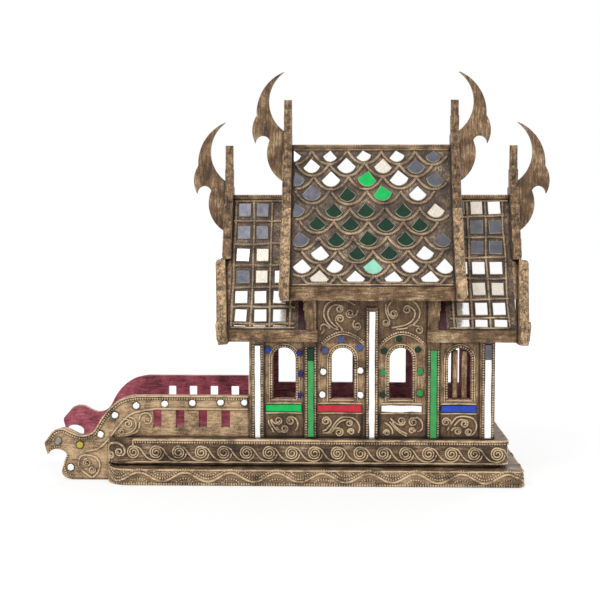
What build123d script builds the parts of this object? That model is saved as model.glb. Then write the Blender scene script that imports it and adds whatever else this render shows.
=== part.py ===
from build123d import *
from math import asin, degrees, hypot, sqrt
import os

# A tabletop wood and glass spirit house in the Thai style, in millimetres.
# X runs along the hall with the entrance porch at -X, Y runs across it and Z is up.
# The origin lies on the underside of the base, below the middle of the hall.

os.makedirs("parts", exist_ok=True)

# Base: a plain lower step, a recessed band and an upper frame that holds the floor
LOWER_STEP_FRONT_X = 265
LOWER_STEP_REAR_X = 150
LOWER_STEP_WIDTH = 169
LOWER_STEP_HEIGHT = 16.5
BAND_SETBACK = 9
BAND_HEIGHT = 2.9
UPPER_STEP_FRONT_X = 266
UPPER_STEP_REAR_X = 136
UPPER_STEP_WIDTH = 142
UPPER_STEP_HEIGHT = 25
UPPER_STEP_BOARD = 14
FLOOR_THICKNESS = 6
FLOOR_LEDGE = 6
EDGE_CHAMFER = 1
LOWER_STEP_CORNER_RADIUS = 22
UPPER_STEP_CORNER_RADIUS = 11
REAR_CORNER_RADIUS = 7

# Hall: two long walls stepped up in the middle, with end walls between them
HALL_LENGTH = 246
HALL_WIDTH = 120
WALL_THICKNESS = 6
CENTRE_BLOCK_LENGTH = 135.2
POST_PROUD = 3
CORNER_POST_WIDTH = 14.6
CENTRE_POST_WIDTH = 11.8
MIDDLE_POST_WIDTH = 11
MIDDLE_POST_HEIGHT = 132

# Windows and doorway, all with a round head
WINDOW_WIDTH = 22.8
WINDOW_HEIGHT = 51.5
WINDOW_SILL = 40
INNER_WINDOW_X = 29.3
OUTER_WINDOW_X = 88
DOORWAY_WIDTH = 44
DOORWAY_HEIGHT = 92
REAR_WINDOW_Y = 27

# Roofs: each slope sags along one arc from its ridge to its eave
EAVE_REACH = 70
ROOF_BOW_RADIUS = 530
ROOF_THICKNESS = 4
LOWER_EAVE_Z = 155
LOWER_RIDGE_Z = 286
LOWER_ROOF_LENGTH = 287
UPPER_EAVE_Z = 198
UPPER_RIDGE_Z = 338
UPPER_ROOF_LENGTH = 164.6
RIDGE_CAP_RADIUS = 2.8
RIDGE_CAP_LIFT = 1
FASCIA_THICKNESS = 3.5
LOWER_FASCIA_HEIGHT = 12
UPPER_FASCIA_HEIGHT = 13.7
LOWER_FASCIA_LAP = 13
PEDIMENT_THICKNESS = 4

# Bargeboards: a toothed upper length on each gable, leaf-pointed at the apex
BARGEBOARD_THICKNESS = 8.3
BARGEBOARD_RISE = 9
BARGEBOARD_DROP = 13
BARGEBOARD_LENGTH_DOWN = 62
TOOTH_COUNT = 5
TOOTH_HEIGHT = 6.5
TOOTH_WIDTH = 17
TOOTH_ROOT = 1
APEX_LEAF_WIDTH = 13
LOWER_APEX_Z = 341
UPPER_APEX_Z = 388

# Skirts: a plainer lower length below each bargeboard that ends in an upturned tail
SKIRT_THICKNESS = 9
LOWER_SKIRT_LEAN = 6
LOWER_STRIP_LENGTH = 40
SKIRT_RISE = 10
SKIRT_BELOW_EAVE = 13
TAIL_REACH = 15
TAIL_HEIGHT = 24
TAIL_WIDTH = 9

# Finials: a horn above and a beak below, flat against the bargeboard
# Their outline is measured out from the gable and up from the ridge
FINIAL_THICKNESS = 7
FINIAL_FOOT = (0, -35)
FINIAL_NAPE = (0, 18)
FINIAL_TIP = (0, 78.6)
FINIAL_BROW = (28.4, 34)
FINIAL_BEAK = (29.8, 5.3)
FINIAL_THROAT = (15, 8)
FINIAL_HORN_INSIDE = (15.6, 48)
FINIAL_HORN_OUTSIDE = (20.5, 62)
FINIAL_CHEEK = (33, 19.5)
FINIAL_BEAK_HOLLOW = (22, 13)
FINIAL_BREAST = (16.6, -14)

# Balustrades: one sawn board each side of the porch, with a naga head in front
# The head's outline is measured ahead of the upper step and up from the ground
BALUSTRADE_THICKNESS = 8
RAIL_HEIGHT = 42.3
RAIL_SWEEP_LENGTH = 29
NAGA_NECK = ((-9, 81), (8, 63), (17, 49), (28, 45.5))
NAGA_BROW = (48, 52.5)
NAGA_SNOUT = (65, 40)
NAGA_LIP = (63.5, 25.5)
NAGA_THROAT = ((53, 31), (44.5, 27), (48.5, 11))
NAGA_CHIN = (38, 0)
SLOT_COUNT = 4
SLOT_WIDTH = 8.7
SLOT_HEIGHT = 18
SLOT_SILL_HEIGHT = 9.7
SLOT_PITCH = 23.2
FIRST_SLOT_DISTANCE = 24.4

# The far balustrade was sawn apart from the near one: it reaches on and stands a little higher
FAR_HEAD_LEAD = 6
FAR_RAIL_LIFT = 5
FAR_SLOT_LIFT = 8

# A joiner's gap left between pieces that are glued against a curve
FIT = 0.3

LOWER_STEP_TOP = LOWER_STEP_HEIGHT
BAND_TOP = LOWER_STEP_TOP + BAND_HEIGHT
FLOOR_Z = BAND_TOP + UPPER_STEP_HEIGHT
HALL_END = HALL_LENGTH / 2
WALL_FACE = HALL_WIDTH / 2
WALL_INNER = WALL_FACE - WALL_THICKNESS
BLOCK_END = CENTRE_BLOCK_LENGTH / 2


class Roof:
    """One pitched roof, seen across the hall as two arcs that meet at the ridge."""

    def __init__(self, ridge_z, eave_z, length, apex_z, fascia_height, skirt_lean):
        self.ridge_z = ridge_z
        self.eave_z = eave_z
        self.apex_z = apex_z
        self.fascia_height = fascia_height
        self.skirt_lean = skirt_lean
        self.rise = ridge_z - eave_z
        self.end_x = length / 2
        chord = hypot(EAVE_REACH, self.rise)
        lift = sqrt(ROOF_BOW_RADIUS**2 - chord**2 / 4) / chord
        self.bow_y = EAVE_REACH / 2 + lift * self.rise
        self.bow_z = (ridge_z + eave_z) / 2 + lift * EAVE_REACH

    def height_at(self, y, depth=0):
        """Height of the surface that lies depth below the roof's face, at y."""
        radius = ROOF_BOW_RADIUS + depth
        return self.bow_z - sqrt(radius**2 - (self.bow_y - y) ** 2)

    def angle_at(self, z, rise=0):
        """Angle round the bow's centre to the edge that lies rise above the face, at z."""
        return 180 + degrees(asin((self.bow_z - z) / (ROOF_BOW_RADIUS - rise)))


LOWER_ROOF = Roof(
    LOWER_RIDGE_Z, LOWER_EAVE_Z, LOWER_ROOF_LENGTH, LOWER_APEX_Z, LOWER_FASCIA_HEIGHT, LOWER_SKIRT_LEAN
)
UPPER_ROOF = Roof(UPPER_RIDGE_Z, UPPER_EAVE_Z, UPPER_ROOF_LENGTH, UPPER_APEX_Z, UPPER_FASCIA_HEIGHT, 0)


def save(piece, name):
    """Name the finished piece and write it out."""
    piece.part.label = name
    export_step(piece.part, f"parts/{name}.step")


def board_along(side, outer_y):
    """Plane of the inner face of a board that stands along the hall."""
    return Plane.XZ.offset(-side * outer_y)


def band(roof, rise, drop, low_z, high_z, reach):
    """Strip across the +Y half that follows the slope, from above to below its face."""
    with BuildSketch(mode=Mode.PRIVATE) as strip:
        with Locations((roof.bow_y, roof.bow_z)):
            Circle(ROOF_BOW_RADIUS + drop)
            Circle(ROOF_BOW_RADIUS - rise, mode=Mode.SUBTRACT)
        with Locations((reach / 2, (low_z + high_z) / 2)):
            Rectangle(reach, high_z - low_z, mode=Mode.INTERSECT)
    return strip.sketch


def opening(width, height, sill_z, x):
    """Round-headed opening, cut from the sketch that is open."""
    head_z = sill_z + height - width / 2
    with Locations((x, (sill_z + head_z) / 2)):
        Rectangle(width, head_z - sill_z, mode=Mode.SUBTRACT)
    with Locations((x, head_z)):
        Circle(width / 2, mode=Mode.SUBTRACT)


def step_outline(front_x, rear_x, width, front_radius):
    """Plan of one step of the base, with its corners rounded, the front ones most."""
    with BuildSketch(mode=Mode.PRIVATE) as outline:
        with Locations(((rear_x - front_x) / 2, 0)):
            Rectangle(front_x + rear_x, width)
        fillet(outline.vertices().group_by(Axis.X)[0], front_radius)
        fillet(outline.vertices().group_by(Axis.X)[-1], REAR_CORNER_RADIUS)
    return outline.sketch


# Base
with BuildPart() as base_lower_step:
    with BuildSketch():
        add(step_outline(LOWER_STEP_FRONT_X, LOWER_STEP_REAR_X, LOWER_STEP_WIDTH, LOWER_STEP_CORNER_RADIUS))
    extrude(amount=LOWER_STEP_HEIGHT)
    chamfer(base_lower_step.edges().group_by(Axis.Z)[-1], EDGE_CHAMFER)
save(base_lower_step, "base_lower_step")

upper_step_middle = (UPPER_STEP_REAR_X - UPPER_STEP_FRONT_X) / 2
upper_step_length = UPPER_STEP_FRONT_X + UPPER_STEP_REAR_X

with BuildPart() as base_recessed_band:
    with BuildSketch(Plane.XY.offset(LOWER_STEP_TOP)):
        with Locations((upper_step_middle, 0)):
            Rectangle(upper_step_length - 2 * BAND_SETBACK, UPPER_STEP_WIDTH - 2 * BAND_SETBACK)
    extrude(amount=BAND_HEIGHT)
save(base_recessed_band, "base_recessed_band")

with BuildPart() as base_upper_frame:
    with BuildSketch(Plane.XY.offset(BAND_TOP)):
        add(step_outline(UPPER_STEP_FRONT_X, UPPER_STEP_REAR_X, UPPER_STEP_WIDTH, UPPER_STEP_CORNER_RADIUS))
        with Locations((upper_step_middle, 0)):
            Rectangle(
                upper_step_length - 2 * UPPER_STEP_BOARD,
                UPPER_STEP_WIDTH - 2 * UPPER_STEP_BOARD,
                mode=Mode.SUBTRACT,
            )
    extrude(amount=UPPER_STEP_HEIGHT)
    with BuildSketch(Plane.XY.offset(FLOOR_Z - FLOOR_THICKNESS)):
        with Locations((upper_step_middle, 0)):
            Rectangle(
                upper_step_length - 2 * (UPPER_STEP_BOARD - FLOOR_LEDGE),
                UPPER_STEP_WIDTH - 2 * (UPPER_STEP_BOARD - FLOOR_LEDGE),
            )
    extrude(amount=FLOOR_THICKNESS, mode=Mode.SUBTRACT)
save(base_upper_frame, "base_upper_frame")

with BuildPart() as floor_board:
    with BuildSketch(Plane.XY.offset(FLOOR_Z - FLOOR_THICKNESS)):
        with Locations((upper_step_middle, 0)):
            Rectangle(
                upper_step_length - 2 * (UPPER_STEP_BOARD - FLOOR_LEDGE),
                UPPER_STEP_WIDTH - 2 * (UPPER_STEP_BOARD - FLOOR_LEDGE),
            )
    extrude(amount=FLOOR_THICKNESS)
save(floor_board, "floor_board")

# Long walls, with four windows in each and the middle raised to the upper eave
low_wall_top = LOWER_ROOF.height_at(WALL_FACE, ROOF_THICKNESS) - FIT
high_wall_top = UPPER_ROOF.height_at(WALL_FACE, ROOF_THICKNESS) - FIT
window_sill_z = FLOOR_Z + WINDOW_SILL

for side, side_name in ((-1, "near"), (1, "far")):
    with BuildPart() as side_wall:
        with BuildSketch(board_along(side, WALL_INNER)):
            with Locations((0, (FLOOR_Z + low_wall_top) / 2)):
                Rectangle(HALL_LENGTH, low_wall_top - FLOOR_Z)
            with Locations((0, (FLOOR_Z + high_wall_top) / 2)):
                Rectangle(CENTRE_BLOCK_LENGTH, high_wall_top - FLOOR_Z)
            for window_x in (-OUTER_WINDOW_X, -INNER_WINDOW_X, INNER_WINDOW_X, OUTER_WINDOW_X):
                opening(WINDOW_WIDTH, WINDOW_HEIGHT, window_sill_z, window_x)
        extrude(amount=-side * WALL_THICKNESS)
    save(side_wall, f"{side_name}_side_wall")

# Posts stand proud of the long walls: two at the corners and three on the raised block
corner_post_top = LOWER_ROOF.height_at(WALL_FACE + POST_PROUD, ROOF_THICKNESS) - FIT
block_post_top = UPPER_ROOF.height_at(WALL_FACE + POST_PROUD, ROOF_THICKNESS) - FIT

for side, side_name in ((-1, "near"), (1, "far")):
    with BuildPart() as posts:
        with BuildSketch(board_along(side, WALL_FACE)):
            corner_x = HALL_END - CORNER_POST_WIDTH / 2
            with Locations(*[(x, (FLOOR_Z + corner_post_top) / 2) for x in (-corner_x, corner_x)]):
                Rectangle(CORNER_POST_WIDTH, corner_post_top - FLOOR_Z)
            block_x = BLOCK_END - CENTRE_POST_WIDTH / 2
            with Locations(*[(x, (FLOOR_Z + block_post_top) / 2) for x in (-block_x, block_x)]):
                Rectangle(CENTRE_POST_WIDTH, block_post_top - FLOOR_Z)
            with Locations((0, FLOOR_Z + MIDDLE_POST_HEIGHT / 2)):
                Rectangle(MIDDLE_POST_WIDTH, MIDDLE_POST_HEIGHT)
        extrude(amount=-side * POST_PROUD)
    save(posts, f"{side_name}_posts")

# End walls between the long ones: the doorway in front and two windows behind
end_wall_width = HALL_WIDTH - 2 * WALL_THICKNESS

with BuildPart() as front_wall:
    with BuildSketch(Plane.YZ.offset(-HALL_END)):
        with Locations((0, (FLOOR_Z + low_wall_top) / 2)):
            Rectangle(end_wall_width, low_wall_top - FLOOR_Z)
        opening(DOORWAY_WIDTH, DOORWAY_HEIGHT, FLOOR_Z, 0)
    extrude(amount=WALL_THICKNESS)
save(front_wall, "front_wall")

with BuildPart() as rear_wall:
    with BuildSketch(Plane.YZ.offset(HALL_END - WALL_THICKNESS)):
        with Locations((0, (FLOOR_Z + low_wall_top) / 2)):
            Rectangle(end_wall_width, low_wall_top - FLOOR_Z)
        for window_y in (-REAR_WINDOW_Y, REAR_WINDOW_Y):
            opening(WINDOW_WIDTH, WINDOW_HEIGHT, window_sill_z, window_y)
    extrude(amount=WALL_THICKNESS)
save(rear_wall, "rear_wall")

# Pediments stand on the end walls and close the lower gables
for end, end_name in ((-1, "front"), (1, "rear")):
    with BuildPart() as pediment:
        with BuildSketch(Plane.YZ.offset(end * HALL_END)):
            with Locations((0, (low_wall_top + LOWER_RIDGE_Z) / 2)):
                Rectangle(end_wall_width, LOWER_RIDGE_Z - low_wall_top)
            for bow_y in (-LOWER_ROOF.bow_y, LOWER_ROOF.bow_y):
                with Locations((bow_y, LOWER_ROOF.bow_z)):
                    Circle(ROOF_BOW_RADIUS + ROOF_THICKNESS + FIT, mode=Mode.SUBTRACT)
        extrude(amount=-end * PEDIMENT_THICKNESS)
    save(pediment, f"{end_name}_pediment")

# Gable walls of the raised block, from the lower roof up to the upper one
for end, end_name in ((-1, "front"), (1, "rear")):
    with BuildPart() as gable_wall:
        with BuildSketch(Plane.YZ.offset(end * BLOCK_END)):
            with Locations((0, (low_wall_top + UPPER_RIDGE_Z) / 2)):
                Rectangle(end_wall_width, UPPER_RIDGE_Z - low_wall_top)
            for bow_y in (-UPPER_ROOF.bow_y, UPPER_ROOF.bow_y):
                with Locations((bow_y, UPPER_ROOF.bow_z)):
                    Circle(ROOF_BOW_RADIUS + ROOF_THICKNESS + FIT, mode=Mode.SUBTRACT)
            with BuildSketch(mode=Mode.SUBTRACT) as loft_opening:
                with Locations((0, (low_wall_top + LOWER_RIDGE_Z) / 2)):
                    Rectangle(end_wall_width, LOWER_RIDGE_Z - low_wall_top)
                for bow_y in (-LOWER_ROOF.bow_y, LOWER_ROOF.bow_y):
                    with Locations((bow_y, LOWER_ROOF.bow_z)):
                        Circle(ROOF_BOW_RADIUS + ROOF_THICKNESS, mode=Mode.SUBTRACT)
        extrude(amount=-end * PEDIMENT_THICKNESS)
    save(gable_wall, f"upper_{end_name}_gable_wall")

# Roof slopes, ridge caps and the fascias that close the eaves
roof_runs = (
    ("front", LOWER_ROOF, -LOWER_ROOF.end_x, -BLOCK_END, -LOWER_ROOF.end_x, -BLOCK_END + LOWER_FASCIA_LAP),
    ("rear", LOWER_ROOF, BLOCK_END, LOWER_ROOF.end_x, BLOCK_END - LOWER_FASCIA_LAP, LOWER_ROOF.end_x),
    ("upper", UPPER_ROOF, -UPPER_ROOF.end_x, UPPER_ROOF.end_x, -UPPER_ROOF.end_x, UPPER_ROOF.end_x),
)

for run_name, roof, start_x, end_x, fascia_start, fascia_end in roof_runs:
    for side, side_name in ((-1, "near"), (1, "far")):
        with BuildPart() as slope:
            with BuildSketch(Plane.YZ.offset(start_x)):
                add(band(roof, 0, ROOF_THICKNESS, roof.eave_z - EAVE_REACH / 2, roof.ridge_z, EAVE_REACH))
                if side < 0:
                    mirror(about=Plane.YZ, mode=Mode.REPLACE)
            extrude(amount=end_x - start_x)
        save(slope, f"{run_name}_roof_{side_name}")

        with BuildPart() as fascia:
            with BuildSketch(board_along(side, EAVE_REACH)):
                with Locations(((fascia_start + fascia_end) / 2, roof.eave_z - roof.fascia_height / 2)):
                    Rectangle(fascia_end - fascia_start, roof.fascia_height)
            extrude(amount=-side * FASCIA_THICKNESS)
        save(fascia, f"{run_name}_fascia_{side_name}")

    with BuildPart() as ridge_cap:
        with BuildSketch(Plane.YZ.offset(start_x)):
            with Locations((0, roof.ridge_z + RIDGE_CAP_LIFT)):
                Circle(RIDGE_CAP_RADIUS)
            with BuildSketch(mode=Mode.SUBTRACT) as under_roof:
                with Locations((0, roof.ridge_z)):
                    Rectangle(3 * RIDGE_CAP_RADIUS, 4 * RIDGE_CAP_RADIUS)
                for bow_y in (-roof.bow_y, roof.bow_y):
                    with Locations((bow_y, roof.bow_z)):
                        Circle(ROOF_BOW_RADIUS - FIT, mode=Mode.SUBTRACT)
        extrude(amount=end_x - start_x)
    save(ridge_cap, f"{run_name}_ridge_cap")

# Bargeboards and skirts
gables = (
    ("front", LOWER_ROOF, -1),
    ("rear", LOWER_ROOF, 1),
    ("upper_front", UPPER_ROOF, -1),
    ("upper_rear", UPPER_ROOF, 1),
)

# One leaf-shaped tooth, out from the edge at -X, with its point leaning up the slope
with BuildSketch(mode=Mode.PRIVATE) as tooth:
    with BuildLine():
        tooth_heel = (TOOTH_ROOT, TOOTH_WIDTH)
        tooth_tip = (-TOOTH_HEIGHT, 0)
        tooth_neck = (TOOTH_ROOT, TOOTH_WIDTH / 5)
        ThreePointArc(tooth_heel, (-TOOTH_HEIGHT * 0.6, TOOTH_WIDTH / 2), tooth_tip)
        Polyline(tooth_tip, tooth_neck, tooth_heel)
    make_face()

for gable_name, roof, end in gables:
    split_z = roof.ridge_z - BARGEBOARD_LENGTH_DOWN
    shoulder_z = roof.height_at(0, -BARGEBOARD_RISE)
    first_angle = roof.angle_at(shoulder_z, BARGEBOARD_RISE)
    last_angle = roof.angle_at(split_z, BARGEBOARD_RISE)
    tooth_angle = (last_angle - first_angle) / TOOTH_COUNT
    leaf_z = roof.height_at(APEX_LEAF_WIDTH / 2, -BARGEBOARD_RISE)
    with BuildPart() as bargeboard:
        with BuildSketch(Plane.YZ.offset(end * roof.end_x)):
            add(band(roof, BARGEBOARD_RISE, BARGEBOARD_DROP, split_z, shoulder_z, EAVE_REACH))
            with Locations((roof.bow_y, roof.bow_z)):
                with PolarLocations(
                    ROOF_BOW_RADIUS - BARGEBOARD_RISE,
                    TOOTH_COUNT,
                    first_angle,
                    tooth_angle * (TOOTH_COUNT - 1),
                    endpoint=True,
                ):
                    add(tooth.sketch)
            with BuildLine():
                ThreePointArc(
                    (0, roof.apex_z),
                    (APEX_LEAF_WIDTH / 8, (leaf_z + roof.apex_z) / 2),
                    (APEX_LEAF_WIDTH / 2, leaf_z),
                )
                Line((APEX_LEAF_WIDTH / 2, leaf_z), (0, leaf_z - APEX_LEAF_WIDTH))
                Line((0, leaf_z - APEX_LEAF_WIDTH), (0, roof.apex_z))
            make_face()
            mirror(about=Plane.YZ)
        extrude(amount=end * BARGEBOARD_THICKNESS)
    save(bargeboard, f"{gable_name}_bargeboard")

    skirt_z = roof.eave_z - SKIRT_BELOW_EAVE
    tail_back = EAVE_REACH + TAIL_REACH - TAIL_WIDTH
    tail_heel = (EAVE_REACH + TAIL_REACH, skirt_z)
    tail_tip = (EAVE_REACH + TAIL_REACH + TAIL_WIDTH / 4, skirt_z + TAIL_HEIGHT)
    lean = roof.skirt_lean / (split_z - skirt_z)
    skirt_plane = Plane(
        origin=(end * (roof.end_x - lean * skirt_z), 0, 0), x_dir=(0, 1, 0), z_dir=(1, 0, -end * lean)
    )
    with BuildPart() as skirts:
        with BuildSketch(skirt_plane):
            add(band(roof, SKIRT_RISE, BARGEBOARD_DROP, skirt_z, split_z, EAVE_REACH + TAIL_REACH))
            with BuildLine():
                ThreePointArc(
                    (tail_back, skirt_z + TAIL_HEIGHT / 2),
                    (tail_back + TAIL_WIDTH * 0.6, skirt_z + TAIL_HEIGHT * 0.6),
                    tail_tip,
                )
                ThreePointArc(
                    tail_tip, (tail_heel[0] + TAIL_WIDTH / 3, skirt_z + TAIL_HEIGHT / 3), tail_heel
                )
                Polyline(tail_heel, (tail_back, skirt_z), (tail_back, skirt_z + TAIL_HEIGHT / 2))
            make_face()
            mirror(about=Plane.YZ)
        extrude(amount=end * SKIRT_THICKNESS)
        if roof.skirt_lean:
            with BuildSketch(Plane.YZ.offset(end * roof.end_x)):
                add(band(roof, 0, BARGEBOARD_DROP, split_z - LOWER_STRIP_LENGTH, split_z, EAVE_REACH))
                mirror(about=Plane.YZ)
            extrude(amount=end * roof.skirt_lean)
    save(skirts, f"{gable_name}_skirts")

# Finials: one outline, with its base flat on the gable and its horn over the ridge
for gable_name, roof, end in gables:
    face_x = roof.end_x + BARGEBOARD_THICKNESS
    outline_plane = Plane(origin=(end * face_x, 0, roof.ridge_z), x_dir=(end, 0, 0), z_dir=(0, -end, 0))
    with BuildPart() as finial:
        with BuildSketch(outline_plane):
            with BuildLine():
                Line(FINIAL_FOOT, FINIAL_NAPE)
                ThreePointArc(FINIAL_NAPE, FINIAL_HORN_INSIDE, FINIAL_TIP)
                ThreePointArc(FINIAL_TIP, FINIAL_HORN_OUTSIDE, FINIAL_BROW)
                ThreePointArc(FINIAL_BROW, FINIAL_CHEEK, FINIAL_BEAK)
                ThreePointArc(FINIAL_BEAK, FINIAL_BEAK_HOLLOW, FINIAL_THROAT)
                ThreePointArc(FINIAL_THROAT, FINIAL_BREAST, FINIAL_FOOT)
            make_face()
        extrude(amount=FINIAL_THICKNESS / 2, both=True)
    save(finial, f"{gable_name}_finial")

# Balustrades: a level rail that sweeps down to the naga's head, with its chin on the ground
foot_x = -UPPER_STEP_FRONT_X - FIT


def ahead(points, lead, lift):
    """Points given ahead of the upper step and up from the ground, moved on and up and put in place."""
    return [(-UPPER_STEP_FRONT_X - lead - distance, height + lift) for distance, height in points]


for side, side_name, lead, rail_lift, slot_lift in (
    (-1, "near", 0, 0, 0),
    (1, "far", FAR_HEAD_LEAD, FAR_RAIL_LIFT, FAR_SLOT_LIFT),
):
    rail_z = FLOOR_Z + RAIL_HEIGHT + rail_lift
    sweep_start = (RAIL_SWEEP_LENGTH - UPPER_STEP_FRONT_X, rail_z)
    crown = ahead((*NAGA_NECK, NAGA_BROW, NAGA_SNOUT, NAGA_LIP), lead, rail_lift)
    throat = ahead(NAGA_THROAT, lead, rail_lift)
    (chin,) = ahead((NAGA_CHIN,), lead, 0)
    with BuildPart() as balustrade:
        with BuildSketch(board_along(side, WALL_FACE - BALUSTRADE_THICKNESS)):
            with BuildLine():
                Polyline((foot_x, FLOOR_Z), (-HALL_END, FLOOR_Z), (-HALL_END, rail_z), sweep_start)
                Spline(sweep_start, *crown, tangents=((-1, 0), (0.3, -1)))
                Spline(crown[-1], *throat, chin)
                Polyline(chin, (foot_x, 0), (foot_x, FLOOR_Z))
            make_face()
            slot_z = FLOOR_Z + SLOT_SILL_HEIGHT + slot_lift + SLOT_HEIGHT / 2
            first_x = -HALL_END - FIRST_SLOT_DISTANCE
            with Locations(*[(first_x - index * SLOT_PITCH, slot_z) for index in range(SLOT_COUNT)]):
                Rectangle(SLOT_WIDTH, SLOT_HEIGHT, mode=Mode.SUBTRACT)
        extrude(amount=-side * BALUSTRADE_THICKNESS)
    save(balustrade, f"{side_name}_balustrade")
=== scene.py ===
import math
import random

import bmesh
import bpy
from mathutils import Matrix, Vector


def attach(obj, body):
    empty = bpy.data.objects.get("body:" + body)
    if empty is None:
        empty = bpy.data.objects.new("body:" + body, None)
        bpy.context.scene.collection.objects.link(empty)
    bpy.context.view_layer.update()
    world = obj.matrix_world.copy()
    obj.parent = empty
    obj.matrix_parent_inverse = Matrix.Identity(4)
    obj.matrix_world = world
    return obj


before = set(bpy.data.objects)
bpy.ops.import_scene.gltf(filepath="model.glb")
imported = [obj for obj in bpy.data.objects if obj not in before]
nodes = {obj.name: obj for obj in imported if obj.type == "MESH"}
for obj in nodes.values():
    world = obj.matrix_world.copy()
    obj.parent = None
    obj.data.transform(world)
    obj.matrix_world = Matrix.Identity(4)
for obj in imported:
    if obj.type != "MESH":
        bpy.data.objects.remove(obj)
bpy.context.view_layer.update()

MM = 0.001
TAU = 2 * math.pi
NEAR, FAR = -1, 1


# Materials

def linear(rgb):
    """A colour written as 0 to 255 becomes the linear colour that a shader takes."""
    return tuple((c / 255 / 12.92) if c <= 10 else ((c / 255 + 0.055) / 1.055) ** 2.4 for c in rgb) + (1,)


class Tree:
    """The node tree of a material or the world, and short calls that add nodes to it."""

    def __init__(self, owner):
        owner.use_nodes = True
        self.tree = owner.node_tree
        self.tree.nodes.clear()
        self.place = self.tree.nodes.new("ShaderNodeTexCoord").outputs["Object"]

    def put(self, socket, value):
        if isinstance(value, bpy.types.NodeSocket):
            self.tree.links.new(value, socket)
        else:
            socket.default_value = value

    def node(self, kind, output=0, **inputs):
        node = self.tree.nodes.new(kind)
        for name, value in inputs.items():
            self.put(node.inputs[name.replace("_", " ")], value)
        return None if output is None else node.outputs[output]

    def noise(self, size_mm, detail=4, rough=0.55, vector=None):
        """Noise whose blotches are about size_mm across."""
        return self.node("ShaderNodeTexNoise", Vector=vector or self.place, Scale=1 / (size_mm * MM),
                         Detail=detail, Roughness=rough)

    def cells(self, size_mm):
        return self.node("ShaderNodeTexVoronoi", "Distance", Vector=self.place, Scale=1 / (size_mm * MM))

    def math(self, operation, a, b=0):
        node = self.tree.nodes.new("ShaderNodeMath")
        node.operation = operation
        self.put(node.inputs[0], a)
        self.put(node.inputs[1], b)
        return node.outputs[0]

    def add(self, a, b):
        return self.math("ADD", a, b)

    def less(self, a, b):
        return self.math("SUBTRACT", a, b)

    def times(self, a, b):
        return self.math("MULTIPLY", a, b)

    def spread(self, value, low, high, to_low=0, to_high=1):
        """Maps a range onto another and clamps it."""
        node = self.tree.nodes.new("ShaderNodeMapRange")
        for index, number in enumerate((value, low, high, to_low, to_high)):
            self.put(node.inputs[index], number)
        return node.outputs[0]

    def mix(self, factor, a, b, blend="MIX"):
        node = self.tree.nodes.new("ShaderNodeMix")
        node.data_type = "RGBA"
        node.blend_type = blend
        self.put(node.inputs[0], factor)
        self.put(node.inputs[6], a)
        self.put(node.inputs[7], b)
        return node.outputs[2]

    def ramp(self, factor, *stops):
        node = self.tree.nodes.new("ShaderNodeValToRGB")
        self.put(node.inputs[0], factor)
        elements = node.color_ramp.elements
        while len(elements) < len(stops):
            elements.new(0.5)
        for element, (position, colour) in zip(elements, stops):
            element.position = position
            element.color = linear(colour)
        return node.outputs[0]

    def open_sky(self, reach_mm):
        """1 on open faces and less in hollows, from nearby geometry."""
        node = self.tree.nodes.new("ShaderNodeAmbientOcclusion")
        node.samples = 6
        node.inputs["Distance"].default_value = reach_mm * MM
        return node.outputs["AO"]

    def axis(self, index):
        return self.node("ShaderNodeSeparateXYZ", index, Vector=self.place)


class Shade(Tree):
    """A material with one Principled shader."""

    def __init__(self, name, metallic, specular=0.5):
        self.material = bpy.data.materials.new(name)
        super().__init__(self.material)
        self.shader = self.tree.nodes.new("ShaderNodeBsdfPrincipled")
        self.node("ShaderNodeOutputMaterial", None, Surface=self.shader.outputs[0])
        self.put(self.shader.inputs["Metallic"], metallic)
        self.put(self.shader.inputs["Specular IOR Level"], specular)

    def bump(self, height, strength, depth_mm):
        normal = self.node("ShaderNodeBump", Strength=strength, Distance=depth_mm * MM, Height=height)
        self.put(self.shader.inputs["Normal"], normal)

    def finish(self, colour, roughness):
        self.put(self.shader.inputs["Base Color"], colour)
        self.put(self.shader.inputs["Roughness"], roughness)
        return self.material


GRAIN_X = (0.12, 1, 1)
GRAIN_Z = (1, 1, 0.12)

CREAM_WEAR = (248, 226, 190)


def worn(middle, pale=CREAM_WEAR):
    """The colours of worn paint round one middle colour, from dirt in the low places to rubbed high spots."""
    dirt_and_hollow_shade, shaded = (tuple(c * share for c in middle) for share in (0.28, 0.65))
    rubbed, bare = (tuple(c + (top - c) * share for c, top in zip(middle, pale)) for share in (0.44, 0.88))
    return (0, dirt_and_hollow_shade), (0.28, shaded), (0.53, middle), (0.76, rubbed), (1, bare)


GOLD_TONES = worn((138, 106, 74))
DARK_TONES = worn((108, 81, 56))
PLINTH_TONES = worn((104, 77, 54))
STEP_TONES = worn((162, 129, 96))
RAIL_TONES = worn((204, 168, 127))
ROOF_TONES = worn((103, 83, 67))
RED_TONES = worn((176, 84, 99), (230, 148, 162))
# The red paint made lighter and paler for the inside of the walls: painted light standing in for the dim
# light inside.
INNER_PAINTED_LIGHT_TONES = worn((204, 132, 140), (238, 186, 192))


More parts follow.
